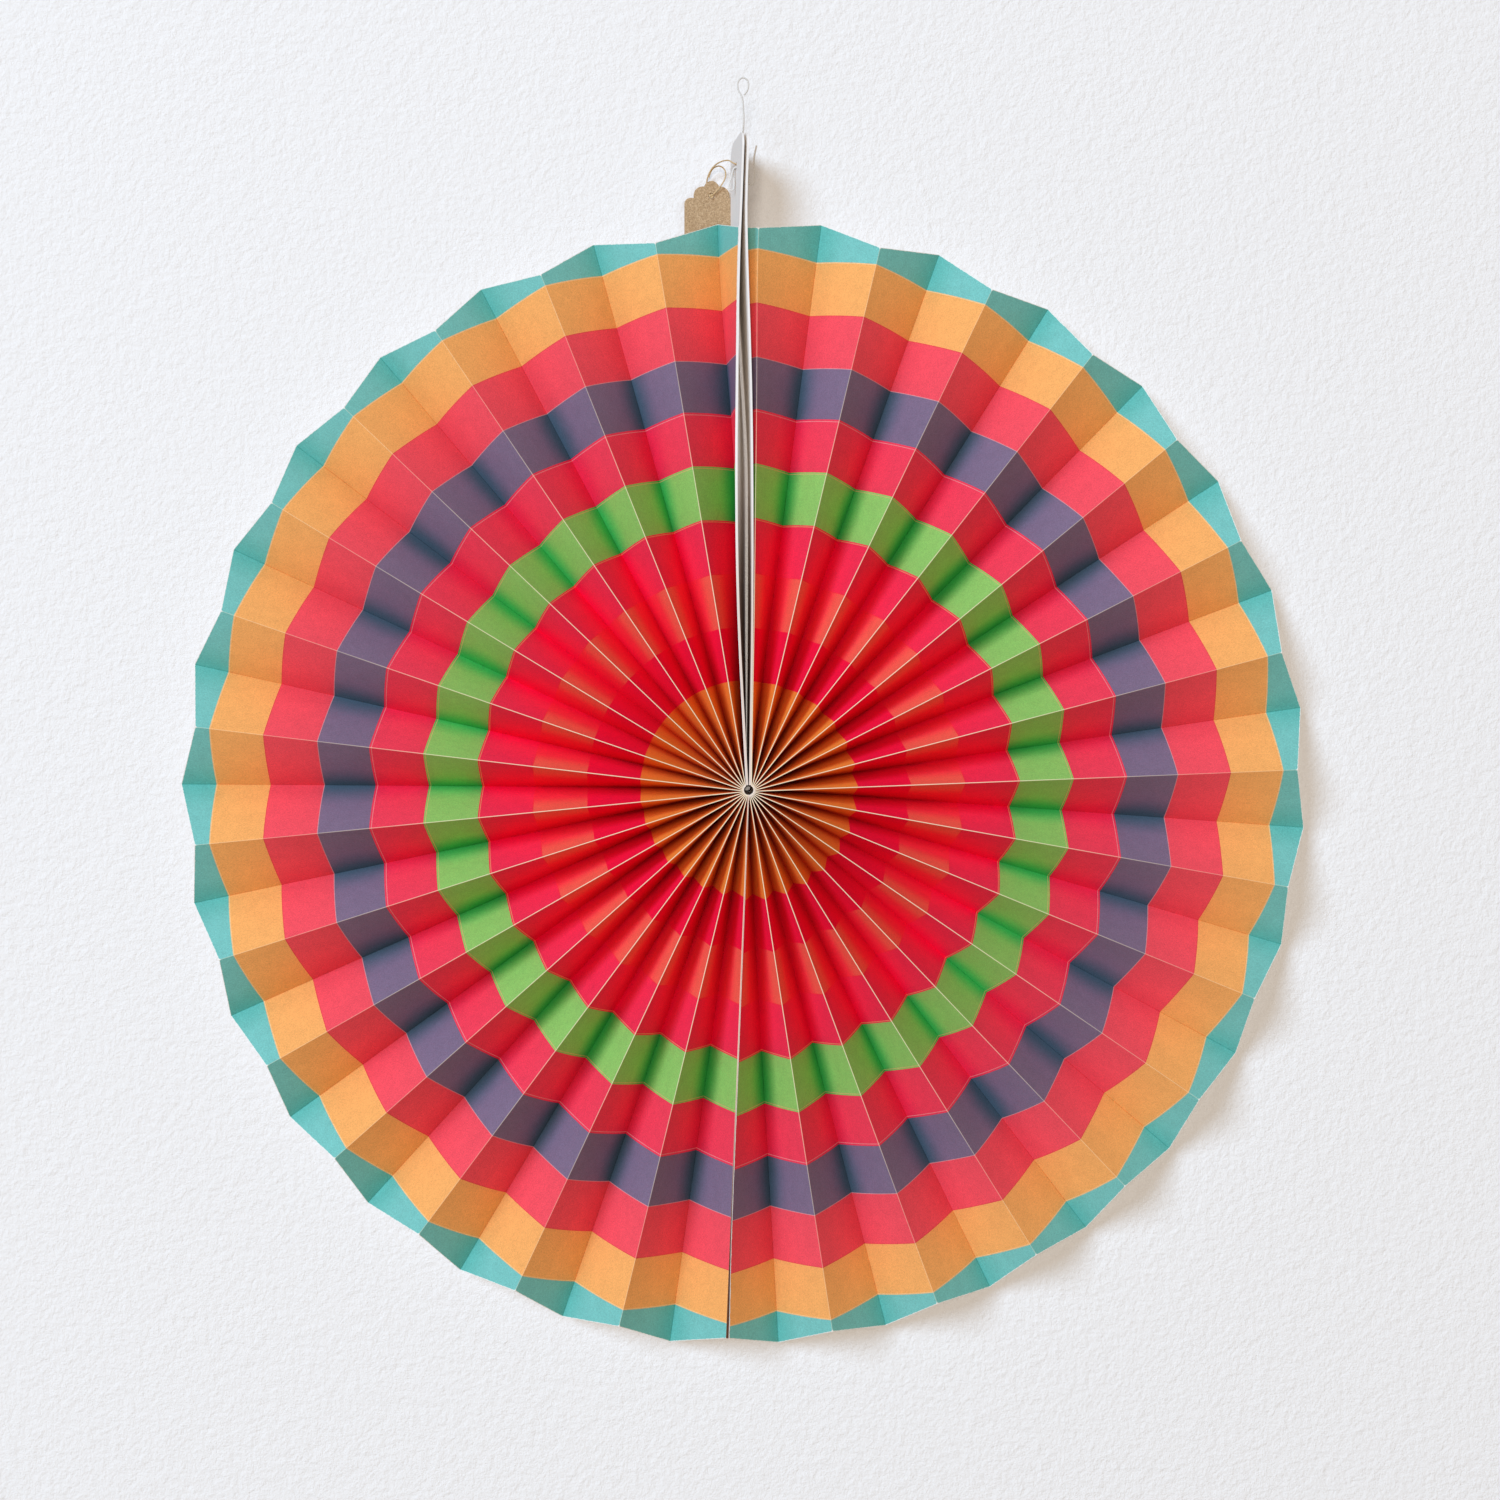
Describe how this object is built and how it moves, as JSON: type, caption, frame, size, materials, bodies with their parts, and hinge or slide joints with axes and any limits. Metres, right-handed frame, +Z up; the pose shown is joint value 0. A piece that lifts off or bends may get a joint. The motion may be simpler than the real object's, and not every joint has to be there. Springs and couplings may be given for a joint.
{
  "type": "paper fan rosette",
  "caption": "Round wall rosette of pleated printed paper, closed on two end boards, with a hanging cord and a card tag.",
  "frame": {"origin": "middle of the hub hole, at half the depth of the pleats", "axes": "+Z up, towards the hanging cord; -Y faces the viewer and +Y the wall; +X to the viewer's right"},
  "size_m": [0.5712, 0.0406, 0.6377],
  "materials": {
    "printed_paper": "matt print in bands on the front, white on the back",
    "end_board": "uncoated",
    "binding_thread": "waxed thread",
    "white_cord": "cotton cord",
    "kraft_tag": "uncoated kraft card",
    "tag_twine": "twisted twine"
  },
  "bodies": {
    "root": {"fan_sheet_right": "printed_paper", "fan_sheet_left": "printed_paper", "end_board_right": "end_board", "end_board_left": "end_board", "hub_thread_front": "binding_thread", "hub_thread_back": "binding_thread", "hanging_cord": "white_cord", "swing_tag": "kraft_tag", "tag_twine": "tag_twine"}
  },
  "joints": []
}
